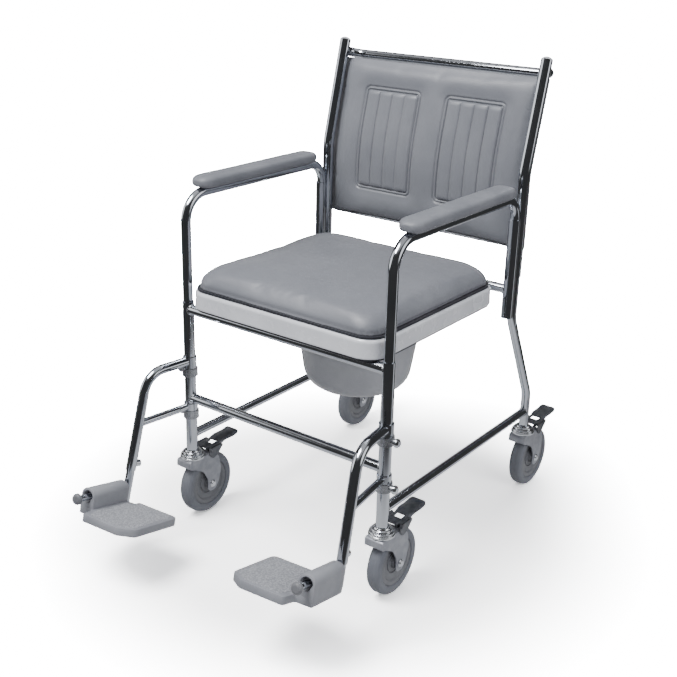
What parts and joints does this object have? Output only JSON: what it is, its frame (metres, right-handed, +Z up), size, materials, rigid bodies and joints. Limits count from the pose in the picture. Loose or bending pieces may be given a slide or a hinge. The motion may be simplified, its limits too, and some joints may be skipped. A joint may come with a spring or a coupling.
{
  "type": "wheeled commode chair",
  "caption": "Wheeled commode chair: tube frame, padded back and lift-off seat cushion, lift-off armrests, sliding pan, swing-away footrests and braked castors.",
  "frame": {"origin": "on the floor under the middle of the overall box", "axes": "+Z up, the sitter faces -Y, left and right are named as seen from the front: right is +X"},
  "size_m": [0.5376, 0.9322, 0.9083],
  "materials": {
    "chrome_tube": "polished",
    "chrome_fitting": "polished",
    "cap_plastic": "satin",
    "upholstery": "grained vinyl",
    "arm_foam": "satin moulded foam",
    "seat_plastic": "gloss",
    "pan_plastic": "satin",
    "dark_plate": "satin",
    "dark_board": "matte",
    "fork_steel": "zinc plated",
    "axle_steel": "zinc plated",
    "tyre_rubber": "matte",
    "hub_plastic": "matte",
    "pedal_steel": "satin",
    "footplate_plastic": "stippled",
    "knob_plastic": "satin"
  },
  "bodies": {
    "frame": {"front_leg_left": "chrome_tube", "front_leg_right": "chrome_tube", "rear_leg_left": "chrome_tube", "rear_leg_right": "chrome_tube", "back_post_left": "chrome_tube", "back_post_right": "chrome_tube", "front_crossbar_upper": "chrome_tube", "front_crossbar_lower": "chrome_tube", "rear_crossbar": "chrome_tube", "lower_rail_left": "chrome_tube", "lower_rail_right": "chrome_tube", "arm_socket_left": "chrome_tube", "arm_socket_right": "chrome_tube", "push_bar": "chrome_tube", "post_caps": "cap_plastic", "footrest_clamps": "chrome_fitting", "clamp_bolts": "chrome_fitting", "seat_frame": "dark_plate", "seat": "seat_plastic", "castor_cups": "chrome_fitting", "back_pad": "upholstery", "back_screws": "chrome_fitting"},
    "castor_front_left": {"castor_fork_front_left": "fork_steel", "castor_axle_front_left": "axle_steel"},
    "wheel_front_left": {"castor_tyre_front_left": "tyre_rubber", "castor_hub_front_left": "hub_plastic"},
    "pedal_front_left": {"brake_pedal_front_left": "pedal_steel"},
    "castor_front_right": {"castor_fork_front_right": "fork_steel", "castor_axle_front_right": "axle_steel"},
    "wheel_front_right": {"castor_tyre_front_right": "tyre_rubber", "castor_hub_front_right": "hub_plastic"},
    "pedal_front_right": {"brake_pedal_front_right": "pedal_steel"},
    "castor_rear_left": {"castor_fork_rear_left": "fork_steel", "castor_axle_rear_left": "axle_steel"},
    "wheel_rear_left": {"castor_tyre_rear_left": "tyre_rubber", "castor_hub_rear_left": "hub_plastic"},
    "pedal_rear_left": {"brake_pedal_rear_left": "pedal_steel"},
    "castor_rear_right": {"castor_fork_rear_right": "fork_steel", "castor_axle_rear_right": "axle_steel"},
    "wheel_rear_right": {"castor_tyre_rear_right": "tyre_rubber", "castor_hub_rear_right": "hub_plastic"},
    "pedal_rear_right": {"brake_pedal_rear_right": "pedal_steel"},
    "armrest_left": {"arm_tube_left": "chrome_tube", "arm_pad_left": "arm_foam"},
    "footrest_left": {"footrest_hanger_left": "chrome_tube", "height_screw_left": "chrome_fitting"},
    "slider_left": {"footrest_slider_left": "chrome_tube", "plate_knob_left": "knob_plastic"},
    "plate_left": {"footplate_left": "footplate_plastic"},
    "armrest_right": {"arm_tube_right": "chrome_tube", "arm_pad_right": "arm_foam"},
    "footrest_right": {"footrest_hanger_right": "chrome_tube", "height_screw_right": "chrome_fitting"},
    "slider_right": {"footrest_slider_right": "chrome_tube", "plate_knob_right": "knob_plastic"},
    "plate_right": {"footplate_right": "footplate_plastic"},
    "cushion": {"cushion_board": "dark_board", "seat_cushion": "upholstery"},
    "pan": {"pan": "pan_plastic"}
  },
  "joints": [
    {"name": "swivel_front_left", "type": "hinge", "parent": "frame", "child": "castor_front_left", "pos_m": [-0.228, -0.17389, 0.133], "axis": [0, 0, 1], "continuous": true},
    {"name": "roll_front_left", "type": "hinge", "parent": "castor_front_left", "child": "wheel_front_left", "pos_m": [-0.228, -0.13789, 0.0635], "axis": [1, 0, 0], "continuous": true},
    {"name": "brake_front_left", "type": "hinge", "parent": "castor_front_left", "child": "pedal_front_left", "pos_m": [-0.228, -0.13989, 0.138], "axis": [1, 0, 0], "range_deg": [0, 12]},
    {"name": "swivel_front_right", "type": "hinge", "parent": "frame", "child": "castor_front_right", "pos_m": [0.228, -0.17389, 0.133], "axis": [0, 0, 1], "continuous": true},
    {"name": "roll_front_right", "type": "hinge", "parent": "castor_front_right", "child": "wheel_front_right", "pos_m": [0.228, -0.13789, 0.0635], "axis": [1, 0, 0], "continuous": true},
    {"name": "brake_front_right", "type": "hinge", "parent": "castor_front_right", "child": "pedal_front_right", "pos_m": [0.228, -0.13989, 0.138], "axis": [1, 0, 0], "range_deg": [0, 12]},
    {"name": "swivel_rear_left", "type": "hinge", "parent": "frame", "child": "castor_rear_left", "pos_m": [-0.228, 0.34811, 0.133], "axis": [0, 0, 1], "continuous": true},
    {"name": "roll_rear_left", "type": "hinge", "parent": "castor_rear_left", "child": "wheel_rear_left", "pos_m": [-0.228, 0.38411, 0.0635], "axis": [1, 0, 0], "continuous": true},
    {"name": "brake_rear_left", "type": "hinge", "parent": "castor_rear_left", "child": "pedal_rear_left", "pos_m": [-0.228, 0.38211, 0.138], "axis": [1, 0, 0], "range_deg": [0, 12]},
    {"name": "swivel_rear_right", "type": "hinge", "parent": "frame", "child": "castor_rear_right", "pos_m": [0.228, 0.34811, 0.133], "axis": [0, 0, 1], "continuous": true},
    {"name": "roll_rear_right", "type": "hinge", "parent": "castor_rear_right", "child": "wheel_rear_right", "pos_m": [0.228, 0.38411, 0.0635], "axis": [1, 0, 0], "continuous": true},
    {"name": "brake_rear_right", "type": "hinge", "parent": "castor_rear_right", "child": "pedal_rear_right", "pos_m": [0.228, 0.38211, 0.138], "axis": [1, 0, 0], "range_deg": [0, 12]},
    {"name": "armrest_lift_left", "type": "slide", "parent": "frame", "child": "armrest_left", "axis": [0, 0, 1], "range_m": [0, 0.1]},
    {"name": "footrest_swing_left", "type": "hinge", "parent": "frame", "child": "footrest_left", "pos_m": [-0.228, -0.17389, 0.24], "axis": [0, 0, -1], "range_deg": [-8, 82]},
    {"name": "footrest_height_left", "type": "slide", "parent": "footrest_left", "child": "slider_left", "axis": [-0.0348, -0.2479, -0.9681], "range_m": [-0.0254, 0.0246]},
    {"name": "footplate_flip_left", "type": "hinge", "parent": "slider_left", "child": "plate_left", "pos_m": [-0.24942, -0.32633, 0.12241], "axis": [0.0675, -0.9658, 0.2504], "range_deg": [0, 90]},
    {"name": "armrest_lift_right", "type": "slide", "parent": "frame", "child": "armrest_right", "axis": [0, 0, 1], "range_m": [0, 0.1]},
    {"name": "footrest_swing_right", "type": "hinge", "parent": "frame", "child": "footrest_right", "pos_m": [0.228, -0.17389, 0.24], "axis": [0, 0, 1], "range_deg": [-8, 82]},
    {"name": "footrest_height_right", "type": "slide", "parent": "footrest_right", "child": "slider_right", "axis": [0.0348, -0.2479, -0.9681], "range_m": [0, 0.05]},
    {"name": "footplate_flip_right", "type": "hinge", "parent": "slider_right", "child": "plate_right", "pos_m": [0.24854, -0.32003, 0.147], "axis": [-0.076, 0.9652, -0.2504], "range_deg": [0, 90]},
    {"name": "cushion_lift", "type": "slide", "parent": "frame", "child": "cushion", "axis": [0, 0, 1], "range_m": [0, 0.1]},
    {"name": "pan_slide", "type": "slide", "parent": "frame", "child": "pan", "axis": [0, 1, 0], "range_m": [0, 0.32]}
  ]
}
